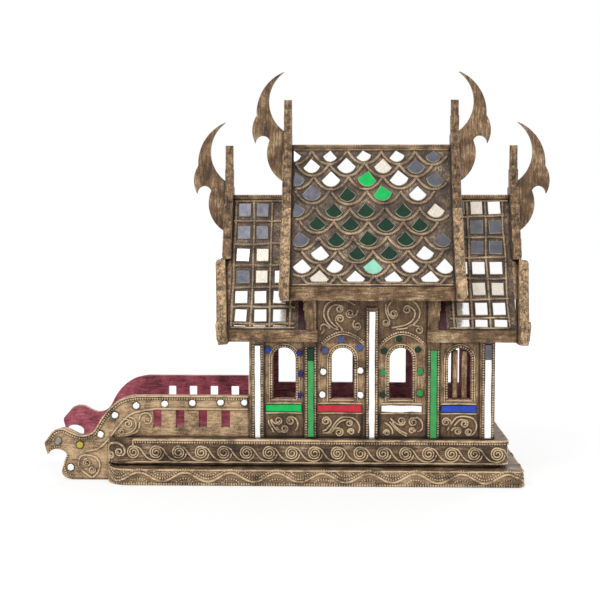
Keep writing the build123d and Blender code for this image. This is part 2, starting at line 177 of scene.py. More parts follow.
def wood_colour(shade, stops, grain, relief=0, dirt_and_hollow_shade=1, patch=16):
    """Worn paint over grained wood, with painted shade that darkens the hollows.

    Gives the colour, the height of the grain, and the speckle that the gloss follows."""
    blotches = shade.noise(patch, 5, 0.6)
    streaks = shade.noise(1.4, 5, 0.65, shade.node("ShaderNodeMapping", Vector=shade.place, Scale=grain))
    speckle = shade.noise(0.9, 3, 0.7)
    value = shade.add(shade.times(blotches, 0.6), shade.times(streaks, 0.55))
    value = shade.add(value, shade.times(speckle, 0.55))
    value = shade.spread(value, 0.64, 1.08)
    if relief:
        chips = shade.spread(shade.cells(2.4), 0.1, 0.62)
        value = shade.less(value, shade.times(chips, relief))
    colour = shade.ramp(value, *stops)
    # Painted shade: where nearby geometry closes off the open sky, the colour is mixed towards near black.
    if dirt_and_hollow_shade:
        hollow = shade.spread(shade.open_sky(3.2), 0.58, 1)
        colour = shade.mix(shade.times(shade.less(1, hollow), dirt_and_hollow_shade), colour, linear((26, 18, 15)))
    return colour, shade.add(shade.times(streaks, 0.7), shade.times(speckle, 0.4)), speckle


def gilt(name, stops, grain=GRAIN_X, relief=0, metallic=0.3, rough=(0.38, 0.7), depth=0.35, dirt_and_hollow_shade=1, patch=16):
    shade = Shade(name, metallic)
    colour, height, speckle = wood_colour(shade, stops, grain, relief, dirt_and_hollow_shade, patch)
    if relief:
        height = shade.less(height, shade.times(shade.cells(2.4), 0.9))
    shade.bump(height, 0.8, depth)
    return shade.finish(colour, shade.spread(speckle, 0.3, 0.7, *rough))


WALL_END = 122.4
PANEL_LOW, PANEL_HIGH = 69, 139


def two_faced(name, outside, inside, axis, limit_mm, grain, panels=False, ends=()):
    """Two paints that meet at a distance from the house's zero plane on one axis.

    The outer one also covers the cut ends asked for, and is darker below and above a long wall's panels."""
    shade = Shade(name, 0.15)
    outer, height, speckle = wood_colour(shade, outside, grain)
    inner = wood_colour(shade, inside, GRAIN_X, dirt_and_hollow_shade=0.25)[0]
    distance = shade.math("ABSOLUTE", shade.axis(axis))
    wobble = shade.times(shade.less(speckle, 0.5), 0.8 * MM)
    distance = shade.add(distance, wobble)
    share = shade.spread(distance, (limit_mm - 0.15) * MM, (limit_mm + 0.15) * MM)
    for end in ends:
        cut_end = shade.spread(shade.times(shade.axis(0), end), WALL_END * MM, (WALL_END + 0.3) * MM)
        share = shade.math("MAXIMUM", share, cut_end)
    if panels:
        up = shade.axis(2)
        frame_low = shade.spread(up, PANEL_LOW * MM, (PANEL_LOW + 0.6) * MM)
        frame_high = shade.spread(up, PANEL_HIGH * MM, (PANEL_HIGH + 2) * MM, 1, 0)
        sunk = shade.less(1, shade.times(frame_low, frame_high))
        outer = shade.mix(sunk, outer, shade.mix(1, outer, linear((178, 170, 162)), "MULTIPLY"))
    shade.bump(height, 0.8, 0.3)
    return shade.finish(shade.mix(share, inner, outer), shade.spread(speckle, 0.3, 0.7, 0.4, 0.7))


def glass(name, rgb, metallic=0, roughness=0.15, cloud=0.12, dark=0.3):
    """Backed glass: a bright face with faint clouding, and specks where the backing has aged."""
    shade = Shade(name, metallic, 0.3)
    cloud_noise = shade.spread(shade.noise(7, 3, 0.5), 0.35, 0.7)
    tone = tuple(c * (1 - cloud) for c in rgb)
    colour = shade.mix(cloud_noise, linear(rgb), linear(tone))
    specks = shade.spread(shade.noise(1.1, 2, 0.5), 0.7, 0.78)
    colour = shade.mix(shade.times(specks, dark), colour, linear(tuple(c * 0.45 for c in rgb)))
    shade.bump(shade.noise(9, 2, 0.4), 0.1, 0.25)
    return shade.finish(colour, shade.spread(shade.noise(3, 3, 0.5), 0.3, 0.7, roughness, roughness + 0.15))


GOLD = gilt("aged_gold", GOLD_TONES)
GOLD_UPRIGHT = gilt("aged_gold_upright", GOLD_TONES, GRAIN_Z)
BASE = gilt("aged_gold_dark", PLINTH_TONES)
# Above 16 mm, on the step's top, the darker tones are a painted shadow under the upper tier; the step's face
# below keeps its lighter tones.
STEP = two_faced("aged_gold_step", DARK_TONES, STEP_TONES, 2, 16, GRAIN_X)
BAND = gilt("aged_gold_band", STEP_TONES, dirt_and_hollow_shade=0)
PEDIMENT = gilt("aged_gold_pediment", DARK_TONES, GRAIN_Z, relief=0.2, depth=0.5)
SKIRT = gilt("aged_gold_skirt", RAIL_TONES, GRAIN_Z, relief=0.16, depth=0.5, patch=7)
BARGE = gilt("aged_gold_barge", worn((156, 123, 90)), GRAIN_Z, relief=0.14, depth=0.5, patch=6)
HORN = gilt("brown_gold", worn((128, 96, 65)), GRAIN_Z, metallic=0.2, rough=(0.42, 0.6), depth=0.25)
ROPE = gilt("gilt_rope", worn((232, 201, 160)), rough=(0.35, 0.6), depth=0.12, dirt_and_hollow_shade=0.35)
ROOF_ROPE = gilt("gilt_roof_rope", worn((208, 178, 143)), rough=(0.35, 0.6), depth=0.12, dirt_and_hollow_shade=0.35)
# A near-black paint for the line round the lower panels: a painted shadow along the edges of their recesses.
PANEL_SHADOW_LINE = gilt("panel_shadow_line", worn((38, 27, 21), (70, 52, 40)), metallic=0, dirt_and_hollow_shade=0)
# A dark brown for the faces deep in the grooves of beads and twisted ropes: painted shade between them.
GROOVE_SHADE = gilt("rope_groove_shade", worn((84, 63, 47)), metallic=0.1, dirt_and_hollow_shade=0.2)
ROOF = gilt("roof_board", ROOF_TONES, GRAIN_Z, metallic=0.15)
# Next to the middle block the lower roof is dark maroon: red paint, darkened as a painted shadow under the
# upper roof.
LOWER_ROOF = two_faced("lower_roof_board", ROOF_TONES, worn((62, 21, 29), (120, 48, 60)), 0, 74, GRAIN_Z)
FLOOR_RED = two_faced("floor_paint", PLINTH_TONES, RED_TONES, 1, 56, GRAIN_X, ends=(1,))
SIDE_WALL = two_faced("side_wall_paint", worn((168, 132, 95)), INNER_PAINTED_LIGHT_TONES, 1, 57, GRAIN_Z, True, (-1, 1))
END_WALL = two_faced("end_wall_paint", DARK_TONES, INNER_PAINTED_LIGHT_TONES, 0, 120.5, GRAIN_Z)
LOFT_WALL = two_faced("loft_wall_paint", DARK_TONES, RED_TONES, 0, 65.6, GRAIN_Z)
RAIL = two_faced("balustrade_paint", RAIL_TONES, RED_TONES, 1, 54.5, GRAIN_X)

MIRROR = glass("mirror_white", (254, 254, 253), 0.85, 0.1, 0.01, 0.05)
CREAM = glass("mirror_cream", (238, 228, 214), 0.4, 0.2, 0.05, 0.02)
# A grey tone for some mirror tiles: a painted reflection of darker surroundings.
GREY = glass("mirror_grey", (112, 112, 122), 0.6, 0.12, 0.16)
CLOUDY = glass("mirror_cloudy", (176, 172, 160), 0.2, 0.2, 0.3, 0.5)
DARK_GREEN = glass("glass_dark_green", (6, 58, 34), 0, 0.14, 0.3)
GREEN = glass("glass_green", (46, 160, 84))
LEAF_GREEN = glass("glass_leaf_green", (74, 176, 98), cloud=0.1, dark=0.25)
BRIGHT_GREEN = glass("glass_bright_green", (6, 206, 98), cloud=0.1, dark=0.2)
MINT = glass("glass_mint", (164, 238, 208), 0.1, 0.15, 0.08, 0.2)
RED = glass("glass_red", (220, 46, 66))
BLUE = glass("glass_blue", (44, 82, 200))
PALE_BLUE = glass("glass_pale_blue", (86, 102, 166), 0.1, 0.15, 0.2)
VIOLET = glass("glass_violet", (48, 46, 132), 0.1, 0.15, 0.25)
YELLOW = glass("glass_yellow", (216, 200, 84), 0.1, 0.15, 0.12, 0.2)
GROUND_EDGE = glass("ground_glass_edge", (196, 184, 158), 0, 0.35, 0.2, 0.2)

PAINT = {
    "side_wall": SIDE_WALL, "front_wall": END_WALL, "rear_wall": END_WALL, "gable_wall": LOFT_WALL,
    "floor_board": FLOOR_RED, "balustrade": RAIL, "finial": HORN, "bargeboard": BARGE, "skirts": SKIRT,
    "posts": GOLD_UPRIGHT, "pediment": PEDIMENT, "lower_step": STEP, "recessed_band": BAND, "base_": BASE,
    "upper_roof": ROOF, "_roof_": LOWER_ROOF, "fascia": GOLD, "ridge_cap": GOLD,
}
for node_name, node in nodes.items():
    paint = next((PAINT[part] for part in PAINT if part in node_name), GOLD)
    node.data.materials.clear()
    node.data.materials.append(paint)


# Faces that ornament is laid on, in mm: a place along, a place up or down, and a height above the face.

class FlatFace:
    """A face given by its zero point, and by what a step along, up and outwards adds."""

    def __init__(self, zero, along, up, out):
        self.zero, self.along, self.up, self.out = (Vector(v) for v in (zero, along, up, out))

    def at(self, along, up, height=0):
        return self.zero + self.along * along + self.up * up + self.out * height


def side_face(side, distance):
    """A long side. Along is X and up is Z."""
    return FlatFace((0, side * distance, 0), (1, 0, 0), (0, 0, 1), (0, side, 0))


def end_face(end, distance, lean=0, foot=0):
    """An upright or leaning face at the front or the rear. Along is Y and up is Z."""
    return FlatFace((end * (distance - lean * foot), 0, 0), (0, 1, 0), (end * lean, 0, 1), (end, 0, 0))


class StepFace:
    """Half the way round a step with rounded corners. Along is X on the long side, and runs on past them."""

    def __init__(self, side, half_width, front, rear, front_radius, rear_radius):
        self.side, self.half_width = side, half_width
        self.ends = {-1: (front, front_radius), 1: (rear, rear_radius)}
        self.low, self.high = -self.length(-1), self.length(1)

    def length(self, end):
        distance, radius = self.ends[end]
        return distance - radius + radius * math.pi / 2 + self.half_width - radius

    def at(self, along, up, height=0):
        end = -1 if along < 0 else 1
        distance, radius = self.ends[end]
        past = abs(along) - (distance - radius)
        turn = min(max(past / radius, 0), math.pi / 2)
        rest = max(past - radius * math.pi / 2, 0)
        straight = min(past, 0)
        out = distance - radius + straight + (radius + height) * math.sin(turn)
        across = self.half_width - radius + (radius + height) * math.cos(turn) - rest
        return Vector((end * out, self.side * across, up))


ROOF_BOW = 530


class Slope:
    """The outer face of one sagging roof. Along is X and down is measured on the curve from the ridge."""

    def __init__(self, side, bow_y, bow_z):
        self.side, self.bow_y, self.bow_z = side, bow_y, bow_z
        self.start = math.acos(bow_y / ROOF_BOW)

    def at(self, along, down, height=0):
        angle = self.start + down / ROOF_BOW
        across, fall = ((ROOF_BOW - height) * turn for turn in (math.cos(angle), math.sin(angle)))
        return Vector((along, self.side * (self.bow_y - across), self.bow_z - fall))

    def edge(self, rise, low_z, high_z):
        """Points on an end face, along the slope and this far above it, between two heights."""
        line = [self.at(0, down * 3, rise) for down in range(-4, 58)]
        return [(spot.y, spot.z) for spot in line if low_z < spot.z < high_z and spot.y * self.side > 0.5]


def resampled(path, step):
    """The same line with points about a step apart."""
    points = [Vector(point) for point in path]
    lengths = [0]
    for a, b in zip(points, points[1:]):
        lengths.append(lengths[-1] + (b - a).length)
    count = max(2, int(round(lengths[-1] / step)) + 1)
    result = []
    index = 0
    for k in range(count):
        goal = lengths[-1] * k / (count - 1)
        while index < len(points) - 2 and lengths[index + 1] < goal:
            index += 1
        span = lengths[index + 1] - lengths[index]
        share = (goal - lengths[index]) / span if span else 0
        result.append(points[index].lerp(points[index + 1], share))
    return result


ROPE_PITCH, BEAD_PITCH = 1.65, 2.5
# Each kind of strand: the step along it, its grooves' depth as a share of its size, and where painted shade
# darkens the grooves.
STRANDS = {"plain": (1.1, 0, -2), "rope": (0.55, 0.13, -0.6), "bead": (0.62, 0.3, -0.45)}


def placed(name, data):
    """A new object in the scene."""
    thing = bpy.data.objects.new(name, data)
    bpy.context.collection.objects.link(thing)
    return thing


CARVINGS = []


class Carving:
    """The mesh of one piece of ornament, with a paint for each of its parts."""

    def __init__(self, name, slot, paint=ROPE):
        self.name, self.slot, self.paint = name, slot, paint
        self.points, self.faces, self.marks, self.paints = [], [], [], []
        CARVINGS.append(self)

    def add(self, points, faces, paint, grooves=()):
        first = len(self.points)
        self.points += points
        for group, colour in ((faces, paint), (grooves, GROOVE_SHADE)):
            if group and colour not in self.paints:
                self.paints.append(colour)
            self.faces += [tuple(first + index for index in face) for face in group]
            self.marks += [self.paints.index(colour) for _ in group]

    def strand(self, face, path, radius, kind="plain", paint=None, sides=6, height=None):
        """A raised line laid on a face: plain, twisted like rope, or beaded."""
        step, depth, edge = STRANDS[kind]
        lift = radius * 0.25 if height is None else height
        flat = resampled([Vector((*point, 0)) for point in path], step)
        line = [face.at(spot.x, spot.y, lift) for spot in flat]
        points, faces, grooves = [], [], []
        last = len(line) - 1
        for k, centre in enumerate(line):
            ahead = (line[min(k + 1, last)] - line[max(k - 1, 0)]).normalized()
            up = (face.at(flat[k].x, flat[k].y, 1) - face.at(flat[k].x, flat[k].y, 0)).normalized()
            across = ahead.cross(up).normalized()
            taper = 0.55 if k in (0, last) else 1
            for n in range(sides):
                angle = TAU * n / sides
                size = radius * (1 + depth * self.swell(kind, angle, k * step)) * taper
                points.append(centre + across * (size * math.cos(angle)) + up * (size * math.sin(angle)))
        for k in range(last):
            for n in range(sides):
                a, b = k * sides + n, k * sides + (n + 1) % sides
                # Faces deep in a groove take the darker groove paint, a painted shade.
                deep = self.swell(kind, TAU * (n + 0.5) / sides, (k + 0.5) * step) < edge
                (grooves if deep else faces).append((a, b, b + sides, a + sides))
        faces.append(tuple(reversed(range(sides))))
        faces.append(tuple(last * sides + n for n in range(sides)))
        self.add(points, faces, paint or self.paint, grooves)

    @staticmethod
    def swell(kind, angle, run):
        """How far a strand swells, from -1 in a groove to 1 on a bead or a twist."""
        if kind == "rope":
            return math.cos(angle - TAU * run / ROPE_PITCH)
        if kind == "bead":
            return math.cos(TAU * run / BEAD_PITCH)
        return 0

    def chip(self, face, outline, paint, thickness=1.5, edge=0.55, dome=0, rim=None):
        """A piece of glass: an outline set on a face, with a bevelled edge or a slightly domed top."""
        count = len(outline)
        middle = (sum(p[0] for p in outline) / count, sum(p[1] for p in outline) / count)
        rings = [(1, 0, -0.3), (1, 0, thickness - edge), (1, edge, thickness)]
        if dome:
            rings = [(1, 0, -0.3), (1, 0, thickness * 0.6), (0.86, 0, thickness * 0.92), (0.5, 0, thickness)]
        points = []
        for scale, inset, height in rings:
            for place in outline:
                out = [spot - centre for spot, centre in zip(place, middle)]
                u, v = (centre + gap * scale - math.copysign(min(inset, abs(gap)), gap)
                        for gap, centre in zip(out, middle))
                points.append(face.at(u, v, height))
        points.append(face.at(*middle, thickness + dome))
        sides = []
        for ring in range(len(rings) - 1):
            for n in range(count):
                a, b = ring * count + n, ring * count + (n + 1) % count
                sides.append((a, b, b + count, a + count))
        top = (len(rings) - 1) * count
        faces = [(top + n, top + (n + 1) % count, len(points) - 1) for n in range(count)]
        faces.append(tuple(reversed(range(count))))
        self.add(points, faces + ([] if rim else sides), paint)
        if rim:
            self.add(points, sides, rim)

    def bar(self, face, left, low, right, high, paint, thickness=1.4, wander=0.3, seed=0):
        """A long strip of glass whose hand-cut edges wander a little."""
        draw = random.Random(seed)
        upright = high - low > right - left
        start, finish, edges = (low, high, (left, right)) if upright else (left, right, (low, high))
        steps = max(3, int((finish - start) / 9))
        outline = []
        for edge, order in zip(edges, (range(steps + 1), range(steps, -1, -1))):
            for k in order:
                run, across = start + (finish - start) * k / steps, edge + draw.uniform(-wander, wander)
                outline.append((across, run) if upright else (run, across))
        self.chip(face, outline, paint, thickness, edge=0.5)

    def disc(self, face, along, up, radius, paint, seed=0):
        """A round bead of glass, a little out of true."""
        draw = random.Random(seed)
        outline = []
        for n in range(14):
            size = radius * draw.uniform(0.94, 1.05)
            outline.append((along + size * math.cos(TAU * n / 14), up + size * math.sin(TAU * n / 14)))
        self.chip(face, outline, paint, thickness=1, dome=0.03)
        size = radius + 0.5
        ring = [(along + size * math.cos(TAU * n / 18), up + size * math.sin(TAU * n / 18))
                for n in range(19)]
        self.strand(face, ring, 0.6, paint=GOLD, height=0.1)

    def done(self):
        """The finished mesh, with its faces turned outwards, as an object of the scene."""
        mesh = bpy.data.meshes.new(self.name)
        mesh.from_pydata([point * MM for point in self.points], [], self.faces)
        for paint in self.paints:
            mesh.materials.append(paint)
        mesh.polygons.foreach_set("material_index", self.marks)
        shell = bmesh.new()
        shell.from_mesh(mesh)
        bmesh.ops.recalc_face_normals(shell, faces=shell.faces)
        shell.to_mesh(mesh)
        shell.free()
        piece = placed(self.name, mesh)
        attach(piece, "root")


def relief_and_glass(name, slot, paint=ROPE):
    return Carving(f"{name}_relief", slot, paint), Carving(f"{name}_glass", slot)


def both_halves(carving, face, path, radius, kind="plain"):
    """A line on each side of the middle."""
    for sign in (-1, 1):
        carving.strand(face, [(sign * u, v) for u, v in path], radius, kind)


def turned(outline, angle, size=1):
    """The outline turned and scaled about its zero point."""
    level, rise = size * math.cos(angle), size * math.sin(angle)
    return [(u * level - v * rise, u * rise + v * level) for u, v in outline]


CURL_STEPS = 14


def curl(centre, radius, leave, turns, inner=0.9):
    """A spiral from its eye out to the angle in degrees where it leaves. Turns below 0 wind clockwise."""
    points = []
    count = int(abs(turns) * CURL_STEPS)
    for k in range(count + 1):
        t = k / count
        angle = math.radians(leave) - TAU * turns * (1 - t)
        size = inner + (radius - inner) * t ** 0.85
        points.append((centre[0] + size * math.cos(angle), centre[1] + size * math.sin(angle)))
    return points


def curve(*points, count=9):
    """A smooth line through all of the points."""
    if len(points) < 3:
        return list(points)
    ends = (2 * Vector(points[0]) - Vector(points[1]), 2 * Vector(points[-1]) - Vector(points[-2]))
    knots = [ends[0]] + [Vector(point) for point in points] + [ends[1]]
    result = []
    for k in range(1, len(knots) - 2):
        a, b, c, d = knots[k - 1:k + 3]
        for n in range(count):
            t = n / count
            result.append(tuple(0.5 * (2 * b + (c - a) * t + (2 * a - 5 * b + 4 * c - d) * t * t
                                       + (3 * b - a - 3 * c + d) * t ** 3)))
    result.append(tuple(points[-1]))
    return result


def stemmed(centre, radius, leave, turns, *tail):
    """A spiral that leaves its coil on a smooth stem through the points of its tail."""
    points = curl(centre, radius, leave, turns)
    if not tail:
        return points
    return points[:-2] + curve(points[-3], points[-1], *tail)[9:]


SQUARE = ((-1, -1), (1, -1), (1, 1), (-1, 1))
SIDES = (("near", NEAR), ("far", FAR))
ENDS = (("front", -1), ("rear", 1))


# Fish-scale glass on the upper roof

UPPER_BOW = (503.9, 502.4)
LOWER_BOW = (497.9, 467.8)
UPPER_HALF = 80.6
SCALE_PITCH = 35.8
SCALE_HALF, SCALE_RISE, SCALE_BEND = 17.7, 14, 2.3
ARC_TOP, ARC_FOOT, GLASS_TOP, GLASS_FOOT, EAVE_CORD = 3, 154.5, 2.9, 152.6, 155.4
GLASS = {"w": MIRROR, "c": CREAM, "g": GREY, "d": DARK_GREEN, "b": BRIGHT_GREEN, "m": MINT}
SCALE_ROWS = ((17.6, "wwwwg"), (31.4, "wwcg"), (46, "gwbwg"), (62.6, "gdbw"), (80.4, "gdddc"), (96.4, "dddd"),
              (114, "gdddg"), (130.4, "wddw"), (145.4, "wwmww"), (158.5, "cwww"))
SCALE_SHIFTS = (-7.8, -6.2, -6.8, -5.8, -4, -2.7, -1.3, 1.3, 0.7, 1.5)
FAN = ((0, -17), (-9.4, -7.4), (-7.2, -3.4), (-3.9, -0.9), (0, 0), (3.9, -0.9), (7.2, -3.4), (9.4, -7.4))


def upper_roof(side_name, side):
    slope = Slope(side, *UPPER_BOW)
    ropes = Carving(f"{side_name}_scale_ropes", "roof_wood", ROOF_ROPE)
    fans = Carving(f"{side_name}_scale_glass", "roof_wood")
    draw = random.Random(11)
    for row, (bottom, colours) in enumerate(SCALE_ROWS):
        first = -SCALE_PITCH * (len(colours) - 1) / 2 + SCALE_SHIFTS[row]
        centres = [first + SCALE_PITCH * k + draw.uniform(-1.4, 1.4) for k in range(len(colours))]
        for centre, colour in zip(centres, colours):
            drop = draw.uniform(-0.8, 0.8)
            arc = []
            for n in range(-13, 14):
                point = (centre + SCALE_HALF * n / 13, bottom + drop - SCALE_RISE * abs(n / 13) ** SCALE_BEND)
                if abs(point[0]) < UPPER_HALF - 1.5 and ARC_TOP < point[1] < ARC_FOOT:
                    arc.append(point)
            if len(arc) > 4:
                ropes.strand(slope, arc, 1.6, "rope", sides=7)
            lean = draw.uniform(-0.2, 0.2)
            size = draw.uniform(0.92, 1.04) * (0.84 if row == 0 else 1.03)
            tip = bottom + drop - (1.9 if row == 0 else 2.6)
            fan = [(max(-UPPER_HALF, min(UPPER_HALF, centre + u)), max(GLASS_TOP, min(GLASS_FOOT, tip + v)))
                   for u, v in turned(FAN, lean, size)]
            if max(v for u, v in fan) - min(v for u, v in fan) > 3:
                fans.chip(slope, fan, GLASS[colour], 1.5, rim=GROUND_EDGE)
    ropes.strand(slope, [(-UPPER_HALF, 1.6), (UPPER_HALF, 1.6)], 1.3, "rope", sides=7)
    ropes.strand(slope, [(-UPPER_HALF, EAVE_CORD), (UPPER_HALF, EAVE_CORD)], 1.1)


# Square mirrors on the lower roofs

# Each lower roof: where its level and upright ropes run, the middles of its columns, and its rows of glass.
FRONT_GRID = ((25.1, 51.4, 76.3, 101, 123.2, 143.2), (-141.2, -121.6, -102.4, -82.4),
              (-131.6, -112, -92.6), ("gg ", "gg ", "wc ", "gcw", "www", "www", "www"))
REAR_GRID = ((20.5, 43.6, 66.5, 90.3, 114, 135.9), (81.6, 99.4, 117.8, 136.4),
             (90.5, 108.8, 127.2), ("gcw", " gg", " gg", "www", "wcc", "www", "www"))
ROOF_FOOT = 147.4
GRID_INNER = 77


def lower_roof(end_name, end, grid, side_name, side):
    slope = Slope(side, *LOWER_BOW)
    levels, uprights, columns, rows = grid
    draw = random.Random(5 if end < 0 else 6)
    ropes = Carving(f"{end_name}_{side_name}_grid_ropes", "roof_wood", ROOF_ROPE)
    squares = Carving(f"{end_name}_{side_name}_mirrors", "roof_wood")
    outer = end * max(abs(along) for along in uprights)
    inner = end * GRID_INNER
    for down in levels:
        bends = [(inner + (outer + end * 1.2 - inner) * k / 4, down + draw.uniform(-1, 1)) for k in range(5)]
        ropes.strand(slope, curve(*bends, count=6), 1.35, "rope", sides=7)
    for along in uprights:
        bends = [(along + draw.uniform(-0.8, 0.8), 4 + (ROOF_FOOT - 4.4) * k / 5) for k in range(6)]
        ropes.strand(slope, curve(*bends, count=6), 1.25, "rope", sides=7)
    ropes.strand(slope, [(end * 68.5, 3.2), (end * 142.5, 3.2)], 1.25, "rope", sides=7)
    ropes.strand(slope, [(inner, ROOF_FOOT), (outer, ROOF_FOOT)], 1.1)
    edges = (1, *levels, ROOF_FOOT)
    for row, colours in enumerate(rows):
        top, bottom = edges[row], edges[row + 1]
        middle = (top + bottom) / 2 + 0.4
        tall = min(14.4, bottom - top - 2.6)
        for along, colour in zip(columns, colours):
            half = draw.uniform(6.1, 6.8)
            lean = draw.uniform(-0.04, 0.04)
            shift = draw.uniform(-0.7, 0.7)
            if tall < 1.2 or colour == " ":
                continue
            corners = turned([(u * half, v * tall / 2) for u, v in SQUARE], lean)
            outline = [(along + shift + u, middle + v) for u, v in corners]
            squares.chip(slope, outline, GLASS[colour], 1.5, edge=0.5, rim=GROUND_EDGE)


RIDGES = (("front", 288.4, -142.5, -68.5), ("upper", 340.4, -81.5, 81.5), ("rear", 288.4, 68.5, 142.5))


def ridge_ropes():
    """A pair of beaded cords along the top of each ridge cap."""
    for name, level, start, finish in RIDGES:
        cord = Carving(f"{name}_ridge_rope", "roof_wood", ROOF_ROPE)
        top = FlatFace((0, 0, level), (1, 0, 0), (0, 1, 0), (0, 0, 1))
        for across in (-2.3, 2.3):
            cord.strand(top, [(start, across), (finish, across)], 1.2, "bead")


# The long sides: glass strips, windows, scrolls and dots

WALL_FACE, POST_FACE, RAIL_FACE = 60, 63, 60
WALL_FOOT, DOT_RADIUS, BAR_FACE, CORNER = 45.2, 3.3, 55.5, 2.6
POST_STRIPS = ((-117.7, -111.9, 43.6, 138.6, MIRROR), (-64.3, -58.3, 45.8, 136, LEAF_GREEN),
               (-2.9, 3.4, 43.6, 173, MIRROR), (58.8, 65, 45, 134, LEAF_GREEN), (113, 119.6, 45, 140, MIRROR))
STRIP_TOPS = {1: (123, DARK_GREEN), 4: (125, GREY)}
SILL_STRIPS = ((-106.6, -70.5, BRIGHT_GREEN), (-54.8, -10, RED), (9.6, 50.6, MIRROR), (69.8, 104.9, BLUE))
SILL_LOW, SILL_HIGH = 71, 77.8
WINDOWS = (-88, -29.3, 29.3, 88)
WINDOW_HALF, WINDOW_SILL, WINDOW_SPRING = 11.4, 84.4, 124.5
DOTS = ((BLUE, (-104.2, 133.5)), (VIOLET, (-73, 130.6), (-72, 109.4), (-73, 87.6)),
        (PALE_BLUE, (-30.9, 144), (-47.4, 133.2), (-12.3, 136.3)),
        (MIRROR, (-48.9, 111.5), (-11.2, 112.8), (-49.8, 88.2), (-11.1, 87.9)),
        (DARK_GREEN, (27.1, 145.2), (12.2, 133.1), (46.2, 134.3)), (GREEN, (11.4, 110.9), (48.4, 112.1)),
        (DARK_GREEN, (11.5, 88.6)), (GREEN, (48.6, 90.3)))


def window_line(middle, gap, low=WINDOW_SILL, half_width=WINDOW_HALF, spring=WINDOW_SPRING):
    """The outline of a round-headed opening, widened by a gap."""
    half = half_width + gap
    line = [(middle - half, low)]
    for n in range(17):
        angle = math.pi * (1 - n / 16)
        line.append((middle + half * math.cos(angle), spring + half * math.sin(angle)))
    line.append((middle + half, low))
    return line


def eyebrow(middle, low, rise, half):
    return curve((middle - half, low - 0.5), (middle - half * 0.55, low + rise * 0.68), (middle, low + rise),
                 (middle + half * 0.55, low + rise * 0.72), (middle + half, low + 1))


# Each panel's lines, in mm from its lower left corner: spirals with a stem, and plain stems.
# A spiral is its eye, its size, the angle where it leaves, its turns and the points of its stem.

PANELS = (
    ((((15.2, 20.1), 4.1, 230, -1.5, (9.9, 18.8), (8.5, 21.5)),
      ((27.7, 19.9), 4.4, 60, -1.6, (33.3, 21.5), (35, 17.4), (34.4, 12.8), (32.3, 9.5)),
      ((21.5, 11.8), 4, 227, -1.6, (15.7, 10.9), (13.4, 13.7))),
     (((6, 21.1), (5.3, 18.8), (6.9, 15.5), (9.2, 11.4), (10.9, 7.7)),
      ((7.6, 21.1), (8.5, 17.8), (10.9, 13.7), (14.3, 10), (17.6, 7.7)))),
    ((((11.8, 19.5), 4.4, 8, -1.6, (16.9, 16.9), (14.6, 13.7), (11.4, 10.4), (8.1, 9.1)),
      ((35.1, 17.6), 3.6, 110, 1.5, (30.3, 20.8), (25.7, 18.8), (21.5, 14.1), (17.8, 9.5), (15.1, 6.3)),
      ((25.2, 8.1), 4.4, 95, 1.6, (21.5, 11.8), (18.3, 9.1), (16, 6.5)),
      ((37.2, 8.8), 3.4, 200, 1.6)),
     (((8.1, 7.2), (14.1, 7.7), (16.9, 10.9), (20.1, 16), (23.4, 20.1), (27.5, 23.1), (32.6, 23.8),
       (38.2, 22.9), (42.8, 19.7), (45.3, 15.5), (45.8, 10.9), (44.2, 7.2)),)),
    ((((23.1, 19.4), 4.4, 235, -1.6, (15.2, 18.9), (12.2, 22.2)),
      ((35.1, 18.5), 4.6, 60, -1.6, (39.3, 23), (43, 19.9), (44.6, 14.8), (43, 10.2), (39.3, 8.3)),
      ((33.9, 9.7), 3.3, 330, -1.6),
      ((8.5, 7.4), 3.4, 200, 1.6)),
     (((11.3, 18.9), (14.3, 15.2), (18.5, 10.6), (23.1, 6.9), (29.1, 3.9)),
      ((14.2, 18.2), (17.7, 13.6), (21.6, 10), (29.6, 5.9)),
      ((6, 18), (9.2, 16.2), (12.9, 12.5), (14.5, 8.3), (13.9, 5.1)))),
    ((((7.6, 18.2), 4.3, 25, -1.6, (12.6, 17.1), (10.4, 12.5)),
      ((30.7, 8.1), 3.9, 300, 1.6, (35.1, 6), (37.6, 10.2), (38.3, 15.7), (35.6, 20.8), (30.9, 23.3),
       (23.1, 24), (18, 22.6), (14.3, 18.5), (8.8, 9.7)),
      ((25.9, 16.6), 4.2, 105, 1.6, (20.8, 19.9), (15.7, 14.3)),
      ((19.4, 8.8), 3.8, 120, 1.6, (16.2, 12.3), (12.9, 9.2))),
     ()),
)
